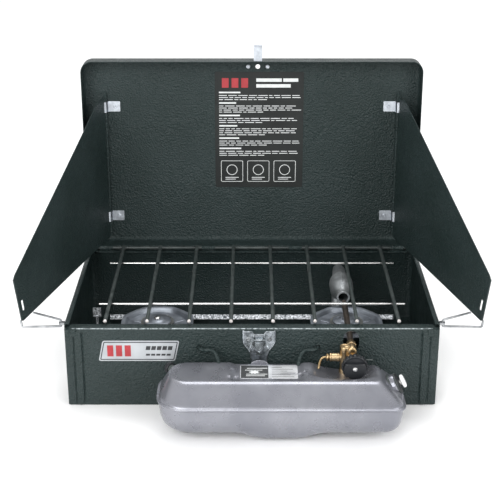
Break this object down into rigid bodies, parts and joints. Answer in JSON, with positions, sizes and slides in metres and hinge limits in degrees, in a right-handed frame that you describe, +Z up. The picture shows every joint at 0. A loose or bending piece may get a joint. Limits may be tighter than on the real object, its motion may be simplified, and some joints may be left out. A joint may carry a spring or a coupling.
{
  "type": "camp stove",
  "caption": "Open two-burner liquid-fuel camp stove with a lid, hinged windshields, wire grate and a fuel tank with valve and pump hung on the front.",
  "frame": {"origin": "centre of the case's underside, on the surface that it stands on", "axes": "+X along the case, to the right of someone at the front; +Y from the front to the hinge; +Z up"},
  "size_m": [0.5546, 0.388, 0.3858],
  "materials": {
    "green_enamel": "textured satin",
    "silver_paint": "metallic satin",
    "black_enamel": "satin",
    "plated_steel": "bright",
    "galvanised_steel": "dull",
    "stainless": "satin",
    "aluminised_steel": "dull",
    "brass": "satin",
    "black_plastic": "satin",
    "white_plastic": "gloss",
    "foil_label": "printed",
    "black_label": "printed",
    "leather_cup": "oiled"
  },
  "bodies": {
    "case": {"case_body": "green_enamel", "front_panel": "green_enamel", "hinge_rod": "black_enamel", "case_hinge_knuckles": "green_enamel", "burner_shelf": "green_enamel", "burner_bowl_left": "aluminised_steel", "burner_bowl_right": "aluminised_steel", "burner_rings_left": "stainless", "burner_rings_right": "stainless", "burner_bases": "stainless", "burner_caps": "stainless", "burner_screws": "plated_steel", "mixing_chamber": "galvanised_steel", "mixing_elbow": "galvanised_steel", "manifold_tube": "galvanised_steel", "auxiliary_valve_body": "brass", "latch_plate": "plated_steel", "latch_rivets": "plated_steel", "latch_pivot": "plated_steel", "badge_plate": "foil_label", "bail_brackets": "plated_steel"},
    "tank": {"tank_upper_shell": "silver_paint", "tank_lower_shell": "silver_paint", "tank_hangers": "black_enamel", "tank_label": "foil_label", "tank_tab": "silver_paint", "filler_neck": "black_enamel", "fuel_pickup_tube": "brass", "valve_body": "brass", "packing_nut": "brass", "lever_nut": "brass", "generator_nut": "brass", "generator_tube": "brass", "pump_barrel": "brass", "pump_collar": "silver_paint", "pump_cap": "black_plastic", "knob_stop_pin": "black_enamel"},
    "lid": {"lid_tray": "green_enamel", "lid_hinge_knuckles": "green_enamel", "lid_label": "black_label", "lid_hasp": "plated_steel", "lid_rivets": "plated_steel", "windshield_clips": "plated_steel"},
    "windshield_left": {"windshield_left": "green_enamel"},
    "windshield_right": {"windshield_right": "green_enamel"},
    "grate": {"grate_bars": "black_enamel", "grate_cross_rods": "plated_steel"},
    "bail_left": {"bail_left": "plated_steel"},
    "bail_right": {"bail_right": "plated_steel"},
    "latch": {"latch_lever": "plated_steel"},
    "auxiliary_valve": {"auxiliary_valve_handle": "plated_steel"},
    "knob": {"control_knob": "black_plastic", "knob_screw": "plated_steel", "valve_stem": "brass"},
    "lighting_lever": {"lighting_lever": "brass"},
    "filler_cap": {"filler_cap": "black_plastic"},
    "pump_plunger": {"pump_rod": "plated_steel", "pump_cup": "leather_cup"},
    "pump_knob": {"pump_knob": "white_plastic", "air_stem": "plated_steel"}
  },
  "joints": [
    {"name": "tank_slide", "type": "slide", "parent": "case", "child": "tank", "axis": [0, -1, 0], "range_m": [0, 0.17]},
    {"name": "lid_hinge", "type": "hinge", "parent": "case", "child": "lid", "pos_m": [0, 0.1228, 0.106], "axis": [-1, 0, 0], "range_deg": [0, 12]},
    {"name": "windshield_left_fold", "type": "hinge", "parent": "lid", "child": "windshield_left", "pos_m": [-0.196, 0.15091, 0.2053], "axis": [0, 0.0262, 0.9997], "range_deg": [0, 104]},
    {"name": "windshield_right_fold", "type": "hinge", "parent": "lid", "child": "windshield_right", "pos_m": [0.196, 0.15091, 0.2053], "axis": [0, -0.0262, -0.9997], "range_deg": [0, 101.5]},
    {"name": "grate_lift", "type": "hinge", "parent": "case", "child": "grate", "pos_m": [0, 0.1228, 0.106], "axis": [-1, 0, 0], "range_deg": [0, 70]},
    {"name": "bail_left_swing", "type": "hinge", "parent": "case", "child": "bail_left", "pos_m": [-0.2275, -0.119, 0.108], "axis": [0, 0, 1], "range_deg": [0, 75]},
    {"name": "bail_right_swing", "type": "hinge", "parent": "case", "child": "bail_right", "pos_m": [0.2275, -0.119, 0.108], "axis": [0, 0, -1], "range_deg": [0, 75]},
    {"name": "latch_lift", "type": "hinge", "parent": "case", "child": "latch", "pos_m": [0.0084, -0.1286, 0.09], "axis": [-1, 0, 0], "range_deg": [0, 110]},
    {"name": "auxiliary_valve_turn", "type": "hinge", "parent": "case", "child": "auxiliary_valve", "pos_m": [-0.17, -0.034, 0.028], "axis": [1, 0, 0], "range_deg": [0, 90]},
    {"name": "control_knob_turn", "type": "hinge", "parent": "tank", "child": "knob", "pos_m": [0.1195, -0.165, 0.076], "axis": [0, 1, 0], "range_deg": [0, 360]},
    {"name": "lighting_lever_turn", "type": "hinge", "parent": "tank", "child": "lighting_lever", "pos_m": [0.0915, -0.145, 0.076], "axis": [-1, 0, 0], "range_deg": [0, 180]},
    {"name": "filler_cap_turn", "type": "hinge", "parent": "tank", "child": "filler_cap", "pos_m": [-0.089, -0.148, 0.0585], "axis": [-0.7071, 0.7071, 0], "range_deg": [0, 360]},
    {"name": "pump_stroke", "type": "slide", "parent": "tank", "child": "pump_plunger", "axis": [0.891, 0, 0.454], "range_m": [0, 0.045]},
    {"name": "pump_knob_turn", "type": "hinge", "parent": "pump_plunger", "child": "pump_knob", "pos_m": [0.163, -0.175, 0.054], "axis": [0.891, 0, 0.454], "range_deg": [0, 360]}
  ]
}
